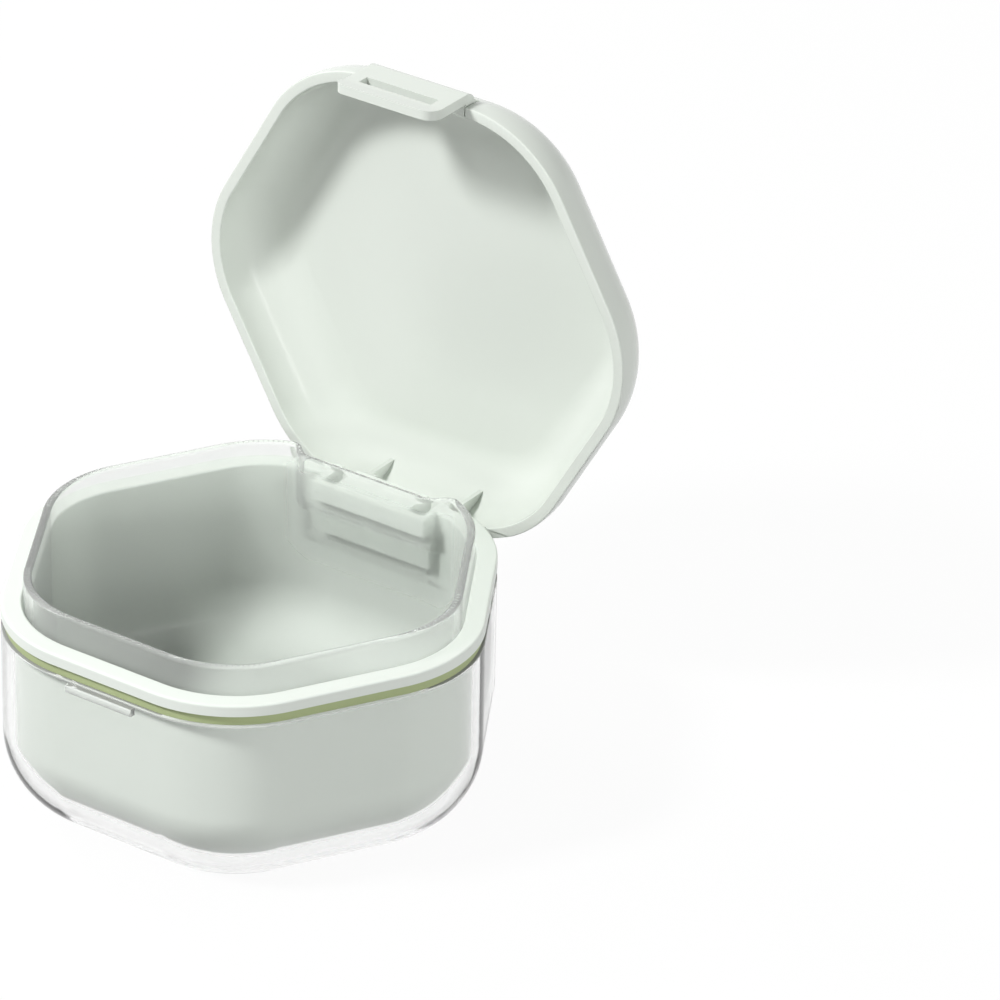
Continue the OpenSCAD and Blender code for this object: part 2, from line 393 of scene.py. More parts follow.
def clear_selection() -> None:
    """Leaves edit mode and deselects everything."""
    if bpy.context.object is not None and bpy.context.object.mode != "OBJECT":
        bpy.ops.object.mode_set(mode="OBJECT")
    bpy.ops.object.select_all(action="DESELECT")


class Workpiece:
    """A mesh object on the bench, shaped with edit-mode operators. Lengths are mm."""

    def __init__(self, name: str) -> None:
        """Takes the primitive that was just added and opens it for editing."""
        self.obj = bpy.context.object
        self.obj.name = self.obj.data.name = name
        bpy.ops.object.transform_apply(location=True, rotation=True, scale=True)
        self.edit()

    def edit(self) -> None:
        """Opens the mesh for editing."""
        clear_selection()
        bpy.context.view_layer.objects.active = self.obj
        self.obj.select_set(True)
        bpy.ops.object.mode_set(mode="EDIT")

    def close(self) -> None:
        """Leaves edit mode with this piece selected."""
        clear_selection()
        bpy.context.view_layer.objects.active = self.obj
        self.obj.select_set(True)

    def _items(self, mesh: bmesh.types.BMesh, kind: Kind) -> Sequence:
        """The vertices, edges or faces of the mesh."""
        return {Kind.VERTS: mesh.verts, Kind.EDGES: mesh.edges, Kind.FACES: mesh.faces}[kind]

    def pick(self, kind: Kind, test: Test, facing: Test | None = None) -> int:
        """Selects what passes a test.

        Args:
            kind: vertices, edges or faces.
            test: takes a corner's place in mm; every corner of an item has to pass.
            facing: takes a face's normal, for faces only.

        Returns:
            How many items were selected.
        """
        bpy.ops.mesh.select_mode(type=kind.value)
        bpy.ops.mesh.select_all(action="DESELECT")
        mesh = bmesh.from_edit_mesh(self.obj.data)
        count = 0
        for item in self._items(mesh, kind):
            corners = [item] if kind is Kind.VERTS else item.verts
            if all(test(v.co / MM) for v in corners) and \
                    (facing is None or facing(item.normal)):
                item.select_set(True)
                count += 1
        if kind is Kind.VERTS:
            mesh.select_flush(True)
        bmesh.update_edit_mesh(self.obj.data)
        return count

    def picked(self) -> list[Point]:
        """Places of the selected vertices, in mm."""
        mesh = bmesh.from_edit_mesh(self.obj.data)
        return [tuple(v.co / MM) for v in mesh.verts if v.select]

    def extrude(self, x: float = 0, y: float = 0, z: float = 0) -> None:
        """Extrudes the selection and moves it."""
        bpy.ops.mesh.extrude_region_move(
            TRANSFORM_OT_translate={"value": (x * MM, y * MM, z * MM)})

    def move(self, x: float = 0, y: float = 0, z: float = 0) -> None:
        """Moves the selection."""
        bpy.ops.transform.translate(value=(x * MM, y * MM, z * MM))

    def stretch(self, factors: Point, about: Point) -> None:
        """Scales the selection about a point."""
        bpy.ops.transform.resize(value=factors,
                                 center_override=tuple(c * MM for c in about))

    def inset(self, width: float) -> None:
        """Insets the selected faces evenly."""
        bpy.ops.mesh.inset(thickness=width * MM, depth=0, use_even_offset=True)

    def round_edges(self, radius: float, steps: int) -> None:
        """Rounds the selected edges."""
        bpy.ops.mesh.bevel(offset=radius * MM, segments=steps, profile=0.5,
                           affect="EDGES", clamp_overlap=False)

    def weld(self) -> None:
        """Merges doubles and points every face outwards."""
        bpy.ops.mesh.select_all(action="SELECT")
        bpy.ops.mesh.remove_doubles(threshold=0.0005 * MM)
        bpy.ops.mesh.normals_make_consistent(inside=False)

    def modify(self, kind: str, **settings: object) -> None:
        """Adds a modifier and applies it."""
        self.close()
        modifier = self.obj.modifiers.new(kind.title(), kind)
        for name, value in settings.items():
            setattr(modifier, name, value)
        bpy.ops.object.modifier_apply(modifier=modifier.name)

    def combine(self, other: Workpiece, operation: str) -> None:
        """Cuts, adds or keeps another workpiece, which is used up."""
        other.close()
        self.modify("BOOLEAN", operation=operation, object=other.obj, solver="EXACT")
        bpy.data.objects.remove(other.obj, do_unlink=True)

    def turn_open(self, swing: Matrix) -> None:
        """Swings a piece that was shaped closed to where it stands open."""
        self.close()
        self.obj.matrix_world = swing
        bpy.ops.object.transform_apply(location=True, rotation=True, scale=True)

    def smooth(self, angle: float = 32) -> None:
        """Shades smooth up to an angle between faces, with flats kept flat."""
        self.close()
        bpy.ops.object.shade_smooth_by_angle(angle=math.radians(angle))
        self.modify("WEIGHTED_NORMAL", keep_sharp=True, weight=80)

    def dress(self, material: bpy.types.Material, body: Body, slot: Slot,
              *nodes: str) -> bpy.types.Object:
        """Gives the piece its finish, and its place in the frame.

        Args:
            material: the finish.
            body: the body that it rides on.
            slot: the record's slot for the finish; not used.
            nodes: the CAD nodes that it stands for.

        Returns:
            The finished object.
        """
        self.close()
        self.obj.data.materials.clear()
        self.obj.data.materials.append(material)
        if nodes:
            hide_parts(*nodes)
        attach(self.obj, body.value)
        log.info("%s: %d faces, on %s", self.obj.name, len(self.obj.data.polygons), body.value)
        return self.obj


# ---------------------------------------------------------------- outline


@dataclass(frozen=True)
class Outline:
    """The rounded hexagon that every shell of the case follows."""

    side: float = 44.0
    corner: float = 25.0
    steps: int = 22

    @property
    def corner_at(self) -> float:
        """Distance of each corner's centre from the middle."""
        return (self.side - self.corner) / math.cos(math.radians(30))

    def centre(self, k: int) -> tuple[float, float]:
        """Centre of the corner k."""
        a = math.radians(60 * k)
        return self.corner_at * math.cos(a), self.corner_at * math.sin(a)

    @staticmethod
    def sector(p: Vector) -> int:
        """Number of the corner that a point belongs to."""
        return int((math.degrees(math.atan2(p[1], p[0])) + 390) // 60) % 6

    def sheet(self, name: str, inset: float, z: float) -> Workpiece:
        """A flat face of the outline.

        Args:
            name: name of the new object.
            inset: how far it lies inside the outer side.
            z: its height.

        Returns:
            The face as a workpiece, open for editing.
        """
        count = 6 * self.steps
        clear_selection()
        bpy.ops.mesh.primitive_circle_add(
            vertices=count, radius=(self.corner - inset) * MM, fill_type="NGON",
            location=(0, 0, z * MM), rotation=(0, 0, math.pi / count))
        piece = Workpiece(name)
        groups = self._groups(piece)
        for k, places in groups.items():
            piece.pick(Kind.VERTS, lambda p, s=places: key(p) in s)
            piece.move(*self.centre(k))
        bpy.ops.mesh.select_mode(type="FACE")
        bpy.ops.mesh.select_all(action="SELECT")
        return piece

    def _groups(self, piece: Workpiece) -> dict[int, set]:
        """The selected or all vertices by the corner that they belong to."""
        groups: dict[int, set] = {k: set() for k in range(6)}
        for p in piece.picked():
            groups[self.sector(p)].add(key(p))
        return groups

    def grow(self, piece: Workpiece, inset: float, to_inset: float) -> None:
        """Moves the picked ring or face from one inset to another.

        Args:
            piece: the workpiece, with the ring selected.
            inset: the inset that the ring has.
            to_inset: the inset that it gets.
        """
        factor = (self.corner - to_inset) / (self.corner - inset)
        groups = self._groups(piece)
        everything = set().union(*groups.values())
        z = next(iter(everything))[2]
        for k, places in groups.items():
            piece.pick(Kind.VERTS, lambda p, s=places: key(p) in s)
            piece.stretch((factor, factor, 1), (*self.centre(k), z))
        ring = to_inset
        piece.pick(Kind.FACES, lambda p: abs(p[2] - z) < NEAR and self.inside(p, ring))

    def depth(self, p: Vector) -> float:
        """How far a point lies inside the outer side."""
        k = self.sector(p)
        cx, cy = self.centre(k)
        a = math.radians(60 * k)
        along = (p[0] - cx) * math.cos(a) + (p[1] - cy) * math.sin(a)
        across = abs((p[1] - cy) * math.cos(a) - (p[0] - cx) * math.sin(a))
        bend = math.atan2(across, along)
        if bend <= math.radians(30):
            return self.corner - math.hypot(along, across)
        return self.corner - (along * math.cos(math.radians(30))
                              + across * math.sin(math.radians(30)))

    def inside(self, p: Vector, inset: float) -> bool:
        """True where a point lies at that inset or further in."""
        return self.depth(p) > inset - NEAR


def key(p: Vector) -> Point:
    """A place rounded so that it can be looked up."""
    return round(p[0], 3), round(p[1], 3), round(p[2], 3)


def block(name: str, low: Point, high: Point) -> Workpiece:
    """A rectangular block between two corners, to cut with or add."""
    clear_selection()
    middle = [(a + b) / 2 * MM for a, b in zip(low, high)]
    bpy.ops.mesh.primitive_cube_add(size=1, location=middle,
                                    scale=[(b - a) * MM for a, b in zip(low, high)])
    return Workpiece(name)


def rod(name: str, radius: float, low_x: float, high_x: float, y: float, z: float) -> Workpiece:
    """A rod along X, to cut with or add."""
    clear_selection()
    bpy.ops.mesh.primitive_cylinder_add(
        vertices=48, radius=radius * MM, depth=(high_x - low_x) * MM,
        location=((low_x + high_x) / 2 * MM, y * MM, z * MM), rotation=(0, math.pi / 2, 0))
    return Workpiece(name)


def traced(name: str, corners: Sequence[tuple[float, float]], low_x: float,
           high_x: float) -> Workpiece:
    """A plate whose side view in the Y-Z plane is traced corner by corner.

    Args:
        name: name of the new object.
        corners: the corners of the side view, as (y, z).
        low_x: where the plate begins.
        high_x: where it ends.

    Returns:
        The closed plate, open for editing.
    """
    clear_selection()
    y, z = corners[0]
    bpy.ops.mesh.primitive_plane_add(size=MM, location=(low_x * MM, y * MM, z * MM))
    piece = Workpiece(name)
    bpy.ops.mesh.select_mode(type="VERT")
    bpy.ops.mesh.select_all(action="SELECT")
    bpy.ops.mesh.merge(type="CENTER")
    bpy.ops.mesh.select_all(action="SELECT")
    for (y0, z0), (y1, z1) in zip(corners, corners[1:]):
        piece.extrude(0, y1 - y0, z1 - z0)
    bpy.ops.mesh.select_all(action="SELECT")
    bpy.ops.mesh.edge_face_add()
    bpy.ops.mesh.select_mode(type="FACE")
    bpy.ops.mesh.select_all(action="SELECT")
    piece.extrude(x=high_x - low_x)
    piece.weld()
    return piece


# ---------------------------------------------------------------- the case


@dataclass
class Hinge:
    """Where the lid turns."""

    y: float = 42.0
    z: float = 34.2
    eye: float = 2.0
    opened: float = 90.0
    half: float = 12.8
    low_z: float = 30.3
    bay_gap: float = 0.3

    def swing(self) -> Matrix:
        """The turn that takes a closed lid to where it stands open."""
        pivot = Vector((0, self.y * MM, self.z * MM))
        return (Matrix.Translation(pivot)
                @ Matrix.Rotation(math.radians(-self.opened), 4, "X")
                @ Matrix.Translation(-pivot))

    def bay(self) -> Workpiece:
        """The space that shell and band leave for the hinge block."""
        half = self.half + self.bay_gap
        return block("bay", (-half, 31.5, self.low_z - self.bay_gap), (half, 60, 60))


@dataclass
class ClearShell:
    """The clear outer shell with its thick rounded bottom and the catch for the latch."""

    outline: Outline
    hinge: Hinge
    height: float = 37.3
    wall: float = 2.2
    floor: float = 3.0
    round_out: float = 15.5
    catch_half: float = 7.4
    catch_proud: float = 1.3
    catch_z: float = 35.55
    catch_h: float = 1.5

    def build(self, finish: ClearPlastic) -> bpy.types.Object:
        """Shapes the shell.

        Args:
            finish: its plastic.

        Returns:
            The finished object.
        """
        piece = self.outline.sheet("clear_shell", 0, 0)
        piece.extrude(z=self.height)
        piece.pick(Kind.FACES, lambda p: p[2] > self.height - NEAR)
        piece.inset(self.wall)
        piece.extrude(z=self.floor - self.height)
        piece.weld()
        inner = self.outline
        piece.pick(Kind.EDGES, lambda p: abs(p[2] - self.floor) < NEAR)
        piece.round_edges(self.round_out - self.wall, 12)
        piece.pick(Kind.EDGES, lambda p: abs(p[2]) < NEAR)
        piece.round_edges(self.round_out, 14)
        piece.pick(Kind.EDGES, lambda p: abs(p[2] - self.height) < NEAR
                   and (inner.depth(p) < NEAR or abs(inner.depth(p) - self.wall) < 2 * NEAR))
        piece.round_edges(0.3, 2)
        piece.weld()
        piece.combine(self.hinge.bay(), "DIFFERENCE")
        catch = block("catch", (-self.catch_half, -self.outline.side - self.catch_proud,
                                self.catch_z),
                      (self.catch_half, -self.outline.side + 1.1,
                       self.catch_z + self.catch_h))
        catch.pick(Kind.EDGES, lambda p: p[1] < -self.outline.side - 1)
        catch.round_edges(0.3, 3)
        piece.combine(catch, "UNION")
        piece.smooth()
        return piece.dress(finish.material(), Body.BASE, Slot.CLEAR, "outer_shell")


@dataclass
class SealBand:
    """The silicone band between the shell and the collar."""

    outline: Outline
    hinge: Hinge
    z: float = 37.3
    height: float = 2.0
    inset: float = 0.6
    inner: float = 2.2

    def build(self, finish: SoftSilicone) -> bpy.types.Object:
        """Shapes the band.

        Args:
            finish: its silicone.

        Returns:
            The finished object.
        """
        piece = self.outline.sheet("silicone_band", self.inset, self.z)
        piece.inset(self.inner - self.inset)
        bpy.ops.mesh.delete(type="FACE")
        bpy.ops.mesh.select_all(action="SELECT")
        piece.extrude(z=self.height)
        piece.weld()
        piece.pick(Kind.EDGES, lambda p: self.outline.depth(p) < self.inset + NEAR)
        piece.combine(self.hinge.bay(), "DIFFERENCE")
        piece.modify("BEVEL", width=0.2 * MM, segments=2, limit_method="ANGLE")
        piece.smooth()
        return piece.dress(finish.material(), Body.BASE, Slot.SILICONE, "seal_band")


@dataclass
class InnerCup:
    """The opaque cup with its collar and the hinge block at the back."""

    outline: Outline
    hinge: Hinge
    inset: float = 2.45
    wall: float = 1.4
    floor_z: float = 3.6
    floor: float = 1.6
    round_out: float = 13.05
    collar_z: float = 39.3
    lead: float = 0.05
    top: float = 41.6
    arm_x: float = 9.8
    slot_half: float = 1.5
    slot_z: float = 32.05
    block_in: float = 35.9
    low_block_in: float = 38.1
    head_z: float = 38.0
    slot_in: float = 37.5
    low_slot_in: float = 39.7
    bend_z: float = 38.9

    def build(self, finish: MouldedPlastic) -> bpy.types.Object:
        """Shapes the cup.

        Args:
            finish: its plastic.

        Returns:
            The finished object.
        """
        outline, inner = self.outline, self.inset + self.wall
        piece = outline.sheet("inner_cup_and_collar", self.inset, self.floor_z)
        piece.extrude(z=self.collar_z - self.floor_z)
        piece.extrude(z=self.lead)
        outline.grow(piece, self.inset, 0)
        piece.extrude(z=self.top - self.collar_z - self.lead)
        piece.inset(inner)
        piece.extrude(z=self.floor_z + self.floor - self.top)
        piece.weld()
        floor = self.floor_z + self.floor
        piece.pick(Kind.EDGES, lambda p: abs(p[2] - floor) < NEAR)
        piece.round_edges(self.round_out - self.wall, 12)
        piece.pick(Kind.EDGES, lambda p: abs(p[2] - self.floor_z) < NEAR)
        piece.round_edges(self.round_out, 12)
        piece.pick(Kind.EDGES, lambda p: p[2] > self.top - NEAR)
        piece.round_edges(0.45, 4)
        piece.weld()
        self._hinge_block(piece)
        piece.smooth()
        return piece.dress(finish.material(), Body.BASE, Slot.SAGE, "inner_cup")

    def _hinge_block(self, piece: Workpiece) -> None:
        """Adds the hinge block and cuts the slots of the lid's arms."""
        half, back = self.hinge.half, self.hinge.y + self.hinge.eye - 0.1
        low = block("block_low", (-half, self.low_block_in, self.hinge.low_z),
                    (half, back, self.top))
        low.pick(Kind.EDGES, lambda p: p[1] > back - NEAR and p[2] < self.hinge.low_z + NEAR)
        low.round_edges(1.2, 5)
        piece.combine(low, "UNION")
        head = block("block_head", (-half, self.block_in, self.head_z),
                     (half, self.outline.side - 1, self.top))
        piece.combine(head, "UNION")
        for side in (-1, 1):
            x = side * self.arm_x
            piece.combine(block("slot_low", (x - self.slot_half, self.low_slot_in, self.slot_z),
                                (x + self.slot_half, 60, 60)), "DIFFERENCE")
            piece.combine(block("slot_head", (x - self.slot_half, self.slot_in, self.bend_z),
                                (x + self.slot_half, 60, 60)), "DIFFERENCE")


@dataclass
class Basket:
    """The clear lift-out basket with the recess in its back wall."""

    outline: Outline
    inset: float = 4.15
    wall: float = 1.6
    low_z: float = 5.3
    floor: float = 1.5
    rim_z: float = 47.0
    round_out: float = 11.65
    low_depth: float = 2.15
    head_depth: float = 4.35
    flat_half: float = 13.2
    end_half: float = 18.7
    levels: tuple[float, ...] = (26.4, 28.4, 35.1, 36.1)

    def share(self, x: float) -> float:
        """How much of the recess a point at x takes, from 0 to 1."""
        t = min(1.0, max(0.0, (self.end_half - abs(x)) / (self.end_half - self.flat_half)))
        return t * t * (3 - 2 * t)

    def build(self, finish: ClearPlastic) -> bpy.types.Object:
        """Shapes the basket.

        Args:
            finish: its plastic.

        Returns:
            The finished object.
        """
        outline = self.outline
        piece = outline.sheet("lift_out_basket", self.inset, self.low_z)
        back = outline.side - self.inset
        piece.pick(Kind.EDGES, lambda p: p[1] > back - 0.05)
        bpy.ops.mesh.subdivide(number_cuts=11)
        bpy.ops.mesh.select_mode(type="FACE")
        bpy.ops.mesh.select_all(action="SELECT")
        heights = [*self.levels, self.rim_z]
        z = self.low_z
        for level in heights:
            piece.extrude(z=level - z)
            z = level
        piece.inset(self.wall)
        for level in [*reversed(self.levels), self.low_z + self.floor]:
            piece.extrude(z=level - z)
            z = level
        piece.weld()
        self._push_back_wall(piece)
        floor = self.low_z + self.floor
        piece.pick(Kind.EDGES, lambda p: abs(p[2] - floor) < NEAR)
        piece.round_edges(self.round_out - self.wall, 10)
        piece.pick(Kind.EDGES, lambda p: abs(p[2] - self.low_z) < NEAR)
        piece.round_edges(self.round_out, 10)
        piece.pick(Kind.EDGES, lambda p: p[2] > self.rim_z - NEAR)
        piece.round_edges(0.6, 5)
        piece.weld()
        piece.smooth(60)
        return piece.dress(finish.material(), Body.BASKET, Slot.BASKET, "basket")

    def _push_back_wall(self, piece: Workpiece) -> None:
        """Pushes the back wall in where it clears the hinge block."""
        piece.pick(Kind.VERTS, lambda p: p[1] > 0 and abs(p[0]) < self.end_half - 0.01
                   and p[2] > self.levels[0] + NEAR)
        columns = sorted({round(abs(p[0]), 2) for p in piece.picked()})
        bands = [(self.levels[0] + NEAR, self.levels[2] + NEAR, self.low_depth),
                 (self.levels[2] + NEAR, self.rim_z + 1, self.head_depth)]
        for low, high, depth in bands:
            for column in columns:
                push = depth * self.share(column)
                if push < 0.001:
                    continue
                piece.pick(Kind.VERTS, lambda p: p[1] > 0 and low < p[2] < high
                           and abs(abs(p[0]) - column) < 0.006)
                piece.move(y=-push)


@dataclass
class Lid:
    """The domed lid with its ribs and hinge arms."""

    outline: Outline
    hinge: Hinge
    low_z: float = 41.7
    end: float = 56.2
    straight: float = 1.0
    shoulder: float = 12.8
    wall: float = 2.2
    top: float = 2.4
    panel_inset: float = 6.5
    panel_t: float = 1.1
    panel_gap: float = 0.15
    steps: int = 14
    bay_half: float = 11.1
    bay_top: float = 46.6
    relief_y: float = 40.9
    relief_h: float = 0.5
    arm_x: float = 9.8
    arm_w: float = 2.4
    rib_w: float = 0.9
    rib_shift: float = 0.5
    rib_reach: float = 2.9
    arm_reach: float = 3.9
    bend_z: float = 39.2

    @property
    def shoulder_z(self) -> float:
        """Height at which the shoulder begins."""
        return self.low_z + self.straight

    def seam_z(self, inset: float) -> float:
        """Height of the shoulder at an inset."""
        lean = math.acos(1 - inset / self.shoulder)
        return self.shoulder_z + (self.end - self.shoulder_z) * math.sin(lean)

    def dome(self, name: str) -> Workpiece:
        """The solid outer form of the lid, closed at the bottom.

        Args:
            name: name of the new object.

        Returns:
            The solid, open for editing.
        """
        piece = self.outline.sheet(name, 0, self.low_z)
        piece.extrude(z=self.straight + self.shoulder)
        return piece

    def crown(self, piece: Workpiece) -> None:
        """Rounds the shoulder of the solid and brings it to its height."""
        level = self.shoulder_z + self.shoulder
        piece.weld()
        piece.pick(Kind.EDGES, lambda p: abs(p[2] - level) < NEAR)
        piece.round_edges(self.shoulder, self.steps)
        rise = (self.end - self.shoulder_z) / self.shoulder
        piece.stretch((1, 1, rise), (0, 0, self.shoulder_z))

    def wall_mid(self, z: float) -> float:
        """Middle of the back wall at a height."""
        up = max(0.0, z - self.shoulder_z)
        rise, rise_in = self.end - self.shoulder_z, self.end - self.top - self.shoulder_z
        out = self.shoulder * (1 - math.sqrt(max(0.0, 1 - (up / rise) ** 2)))
        width_in = self.shoulder - self.wall
        ins = self.wall + width_in * (1 - math.sqrt(max(0.0, 1 - (up / rise_in) ** 2)))
        return self.outline.side - (out + ins) / 2

    def build(self, finish: MouldedPlastic) -> bpy.types.Object:
        """Shapes the lid.

        Args:
            finish: its plastic.

        Returns:
            The finished object.
        """
        outline = self.outline
        piece = self.dome("domed_lid")
        piece.weld()
        piece.pick(Kind.FACES, lambda p: p[2] < self.low_z + NEAR)
        piece.inset(self.wall)
        inner_w = self.shoulder - self.wall
        inner_h = self.end - self.top - self.shoulder_z
        piece.extrude(z=self.straight + inner_w)
        ceiling = self.shoulder_z + inner_w
        piece.pick(Kind.EDGES, lambda p: abs(p[2] - ceiling) < NEAR)
        piece.round_edges(inner_w, self.steps)
        piece.stretch((1, 1, inner_h / inner_w), (0, 0, self.shoulder_z))
        self.crown(piece)
        self._seat(piece)
        piece.pick(Kind.EDGES, lambda p: p[2] < self.low_z + NEAR)
        piece.round_edges(0.3, 3)
        piece.weld()
        piece.combine(block("relief", (-60, self.relief_y, self.low_z - 1),
                            (60, 60, self.low_z + self.relief_h)), "DIFFERENCE")
        self._arms(piece)
        piece.combine(block("latch_bay",
                            (-self.bay_half, -outline.side - 1, self.low_z - 1),
                            (self.bay_half, -outline.side + self.wall + 2, self.bay_top)),
                      "DIFFERENCE")
        piece.turn_open(self.hinge.swing())
        piece.smooth()
        return piece.dress(finish.material(), Body.LID, Slot.LID, "lid")

    def _seat(self, piece: Workpiece) -> None:
        """Sinks the seat of the panel into the top."""
        edge = self.seam_z(self.panel_inset - self.panel_gap)
        bpy.ops.mesh.select_all(action="SELECT")
        bpy.ops.mesh.bisect(plane_co=(0, 0, edge * MM), plane_no=(0, 0, 1))
        piece.pick(Kind.FACES, lambda p: p[2] > edge - NEAR / 4)
        piece.extrude(z=-self.panel_t - self.panel_gap)

    def _arms(self, piece: Workpiece) -> None:
        """Adds the two arms with their eyes and the ribs that carry them."""
        y, z, eye = self.hinge.y, self.hinge.z, self.hinge.eye
        inner = self.outline.side - self.wall - self.arm_reach
        edge = self.outline.side - self.wall - self.rib_reach
        join = self.low_z + 1.5
        top = self.end - self.top - 1.6
        arm = [(y - eye, z), (y - eye, self.bend_z), (inner, self.bend_z + 0.8),
               (edge, join), (self.wall_mid(join), join), (y + eye, self.low_z - 1),
               (y + eye, z)]
        levels = [top + (join - top) * i / 6 for i in range(7)]
        rib = [(edge, join - 1), (edge, top)]
        rib += [(max(edge + 0.2, self.wall_mid(h)), h) for h in levels]
        rib += [(self.wall_mid(join), join - 1)]
        for side in (-1, 1):
            x = side * self.arm_x
            half = self.arm_w / 2
            piece.combine(traced("arm", arm, x - half, x + half), "UNION")
            piece.combine(rod("eye", eye, x - half, x + half, y, z), "UNION")
            x += side * self.rib_shift
            half = self.rib_w / 2
            piece.combine(traced("rib", rib, x - half, x + half), "UNION")


@dataclass
class LidPanel:
    """The cap panel on top of the lid, inside the fine line."""

    lid: Lid

    def build(self, finish: MouldedPlastic) -> bpy.types.Object:
        """Shapes the panel.

        Args:
            finish: its plastic.

        Returns:
            The finished object.
        """
        lid = self.lid
        piece = lid.dome("lid_top_panel")
        lid.crown(piece)
        edge = lid.seam_z(lid.panel_inset)
        bpy.ops.mesh.select_all(action="SELECT")
        bpy.ops.mesh.bisect(plane_co=(0, 0, edge * MM), plane_no=(0, 0, 1), clear_inner=True)
        bpy.ops.mesh.select_mode(type="FACE")
        bpy.ops.mesh.select_all(action="SELECT")
        piece.extrude(z=-lid.panel_t)
        piece.weld()
        piece.turn_open(lid.hinge.swing())
        piece.modify("BEVEL", width=0.12 * MM, segments=2, limit_method="ANGLE",
                     angle_limit=math.radians(40))
        piece.smooth()
        return piece.dress(finish.material(), Body.LID, Slot.LID, "lid_panel")


@dataclass
class Latch:
    """The clip that hangs from the lid's front edge."""

    lid: Lid
    half: float = 10.8
    proud: float = 2.2
    plate: float = 1.9
    height: float = 14.3
    barrel: float = 1.7
    pin: float = 0.6
    top_round: float = 2.6
    corner: float = 2.4
    flare: float = 0.8
    lip: float = 3.9
    window_half: float = 8.0
    window_h: float = 2.5

    def build(self, finish: MouldedPlastic) -> bpy.types.Object:
        """Shapes the latch.

        Args:
            finish: its plastic.

        Returns:
            The finished object.
        """
        side = self.lid.outline.side
        y = -(side - self.lid.wall / 2)
        z = self.lid.low_z + self.barrel
        top, front = z + self.barrel, -side - self.proud
        low, back = top - self.height, front + self.plate
        flare_z = low + self.lip
        spare = 0.5
        slant = self.flare * (1 + spare / self.lip)
        bend = [(front + self.top_round * (1 - math.sin(math.radians(a))),
                 top - self.top_round * (1 - math.cos(math.radians(a))))
                for a in range(0, 91, 9)]
        section = [(y, z), (y, top), *bend, (front, flare_z), (front - slant, low - spare),
                   (back - slant, low - spare), (back, flare_z), (back, z - 0.4)]
        piece = traced("latch_clip", section, -self.half - spare, self.half + spare)
        piece.combine(rod("barrel", self.barrel, -self.half - spare, self.half + spare, y, z),
                      "UNION")
        shape = block("latch_shape", (-self.half, front - 5, low), (self.half, y + 5, top + 5))
        shape.pick(Kind.EDGES, lambda p: p[2] < low + NEAR and abs(p[0]) > self.half - NEAR)
        shape.round_edges(self.corner, 8)
        piece.combine(shape, "INTERSECT")
        window = low + self.lip + 0.4
        piece.combine(block("window", (-self.window_half, front - 2, window),
                            (self.window_half, back + 1, window + self.window_h)),
                      "DIFFERENCE")
        piece.combine(rod("bore", self.pin + 0.05, -self.half - 1, self.half + 1, y, z),
                      "DIFFERENCE")
        piece.modify("BEVEL", width=0.25 * MM, segments=3, limit_method="ANGLE",
                     angle_limit=math.radians(50))
        piece.turn_open(self.lid.hinge.swing())
        piece.smooth()
        return piece.dress(finish.material(), Body.LATCH, Slot.LID, "latch")


# ---------------------------------------------------------------- studio


@dataclass(frozen=True)
class Viewpoint:
    """The camera that the photograph was matched to."""

    focal_px: float = 6588.956
    frame_px: float = 1000.0
    tilt: float = 28.775
    roll: float = 1.241
    height: float = 631.718
    turn: float = -34.579
    case_at: tuple[float, float] = (-45.006, 1043.999)

    def build(self) -> bpy.types.Object:
        """Places the camera in the case's frame.

        Returns:
            The camera.
        """
        back = Matrix.Rotation(math.radians(-self.turn), 3, "Z")
        tilt, roll = math.radians(self.tilt), math.radians(self.roll)
        ahead = back @ Vector((0, math.cos(tilt), -math.sin(tilt)))
        place = back @ Vector((-self.case_at[0], -self.case_at[1], self.height))
        right = ahead.cross(Vector((0, 0, 1))).normalized()
        above = right.cross(ahead)
        turned_right = right * math.cos(roll) + above * math.sin(roll)
        turned_up = above * math.cos(roll) - right * math.sin(roll)
        clear_selection()
        bpy.ops.object.camera_add()
        camera = bpy.context.object
        camera.name = "photo_camera"
        rotation = Matrix((turned_right, turned_up, -ahead)).transposed().to_4x4()
        camera.matrix_world = Matrix.Translation(place * MM) @ rotation
        camera.data.sensor_width = 36
        camera.data.lens = 36 * self.focal_px / self.frame_px
        camera.data.clip_end = 50
        bpy.context.scene.camera = camera
        return camera


@dataclass(frozen=True)
class SoftBox:
    """One soft lamp, aimed at the case."""

    name: str
    place: Point
    size: tuple[float, float]
    power: float
    mirrored: bool = False
    aim: Point = (0, 15, 50)

    def build(self) -> bpy.types.Object:
        """Adds the lamp.

        Returns:
            The lamp.
        """
        clear_selection()
        start, aim = Vector(self.place) * MM, Vector(self.aim) * MM
        bpy.ops.object.light_add(type="AREA", location=start)
        lamp = bpy.context.object
        lamp.name = self.name
        lamp.data.shape = "RECTANGLE"
        lamp.data.size, lamp.data.size_y = self.size[0] * MM, self.size[1] * MM
        lamp.data.energy = self.power
        lamp.visible_glossy = self.mirrored
        lamp.visible_transmission = False
        lamp.rotation_euler = (aim - start).to_track_quat("-Z", "Y").to_euler()
        return lamp


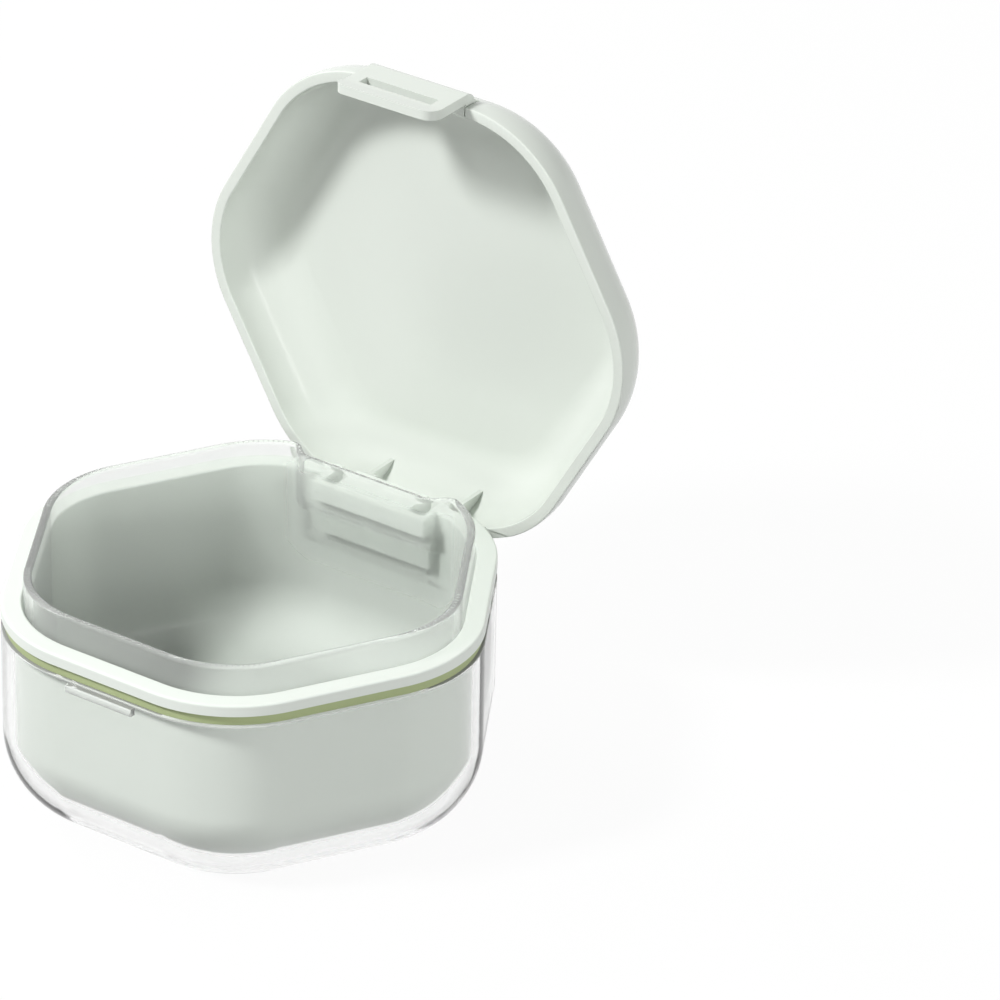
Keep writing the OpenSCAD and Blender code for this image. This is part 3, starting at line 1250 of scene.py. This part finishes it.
@dataclass
class Studio:
    """White floor, white surroundings and soft lamps."""

    fill: float = 0.21
    lamps: list[SoftBox] = field(default_factory=lambda: [
        SoftBox("key_high", (-380, -580, 770), (170, 170), 9.2),
        SoftBox("front_low", (500, -820, 60), (300, 200), 2.4),
        SoftBox("left_low", (-850, -400, 80), (200, 200), 1.0),
        SoftBox("right_side", (950, -115, 300), (200, 420), 3.1),
        SoftBox("right_strip", (950, -115, 440), (60, 420), 0.3, True),
        SoftBox("back_left", (-750, 300, 640), (350, 350), 3.2),
        SoftBox("back_right", (450, 900, 350), (350, 350), 1.6),
    ])

    def build(self) -> None:
        """Sets up the stage."""
        self._world()
        self._floor()
        for lamp in self.lamps:
            lamp.build()
        bpy.context.scene.view_settings.view_transform = "Standard"

    def _seen(self, g: Graph) -> Wire:
        """1 for the rays that should meet plain white, straight, mirrored or through plastic."""
        path = g.node("ShaderNodeLightPath")
        camera, glossy, through, scattered = (
            Wire(g, path.outputs[n]) for n in
            ("Is Camera Ray", "Is Glossy Ray", "Is Transmission Ray", "Diffuse Depth"))
        straight = 1 - g.add("ShaderNodeMath", {"operation": "MINIMUM"}, {0: scattered, 1: 1.0})
        return straight * g.add("ShaderNodeMath", {"operation": "MINIMUM"},
                                {0: camera + glossy + through, 1: 1.0})

    def _world(self) -> None:
        """White where it is seen, a softer fill where it lights."""
        world = bpy.data.worlds.new("studio")
        bpy.context.scene.world = world
        world.use_nodes = True
        g = Graph(world.node_tree)
        strength = self.fill + self._seen(g) * (1 - self.fill)
        light = g.add("ShaderNodeBackground", None,
                      {"Color": g.blend(self._seen(g), (0.95, 1.0, 0.93), (1.0, 1.0, 1.0)),
                       "Strength": strength})
        g.show(light, "ShaderNodeOutputWorld")

    def _floor(self) -> None:
        """A wide pale floor that keeps a trace of the shadow."""
        clear_selection()
        bpy.ops.mesh.primitive_circle_add(vertices=64, radius=6, fill_type="NGON")
        floor = bpy.context.object
        floor.name = "floor"
        material, g = new_graph("pale_floor")
        seen = self._seen(g)
        lit = g.add("ShaderNodeBsdfDiffuse", None,
                    {"Color": g.blend(seen, (0.15, 0.15, 0.15), (0.95, 0.95, 0.95))})
        white = g.add("ShaderNodeEmission", None, {"Color": (1.0, 1.0, 1.0), "Strength": 1.0})
        mixed = g.add("ShaderNodeMixShader", None, {0: seen * 0.95, 1: lit, 2: white})
        g.show(mixed)
        floor.data.materials.append(material)


# ---------------------------------------------------------------- making


@dataclass
class DentureCase:
    """The whole case."""

    sage: MouldedPlastic = MouldedPlastic("sage_cup", (0.79, 0.83, 0.785),
                                          (0.765, 0.805, 0.76), 0.42, 0.008)
    lid_sage: MouldedPlastic = MouldedPlastic("sage_lid", (0.713, 0.75, 0.703),
                                              (0.69, 0.73, 0.68), 0.2, 0.008)
    # the two 0.3 values before the end give the shell's rim and catch their painted highlight
    clear: ClearPlastic = ClearPlastic("clear_shell_plastic", (0.98, 0.985, 0.98),
                                       (0.96, 0.97, 0.96), (0.98, 0.985, 0.98),
                                       0.01, 1.22, 0.97, 37.0, 0.15, 0.3, 0.3)
    # the 0.1 before blur gives the basket's rim its painted highlight
    basket_clear: ClearPlastic = ClearPlastic("clear_basket_plastic", (0.94, 0.95, 0.94),
                                              (0.92, 0.935, 0.92), (0.94, 0.95, 0.94),
                                              0.13, 1.24, 0.87, 46.9, 0.5, 0.1,
                                              blur=0.25)
    silicone: SoftSilicone = SoftSilicone("olive_silicone", (0.42, 0.485, 0.26),
                                          (0.39, 0.45, 0.24))
    steel: DrawnSteel = DrawnSteel("pin_steel_wire", (0.62, 0.62, 0.64))

    def build(self, frame: dict) -> None:
        """Builds every piece in order.
        """
        outline, hinge = Outline(), Hinge()
        lid = Lid(outline, hinge)
        ClearShell(outline, hinge).build(self.clear)
        SealBand(outline, hinge).build(self.silicone)
        InnerCup(outline, hinge).build(self.sage)
        Basket(outline).build(self.basket_clear)
        lid.build(self.lid_sage)
        LidPanel(lid).build(self.lid_sage)
        Latch(lid).build(self.lid_sage)
        steel = self.steel.material()
        for name in ("hinge_pin", "latch_pin"):
            node = frame["nodes"][name]
            for slot in node.material_slots:
                slot.material = steel
            log.info("%s: carried over, in steel", name)


def main() -> None:
    """Loads the frame, sets the studio and dresses the case."""
    logging.basicConfig(level=logging.INFO, format="%(name)s: %(message)s")
    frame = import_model()
    Viewpoint().build()
    Studio().build()
    DentureCase().build(frame)


if __name__ == "__main__":
    main()
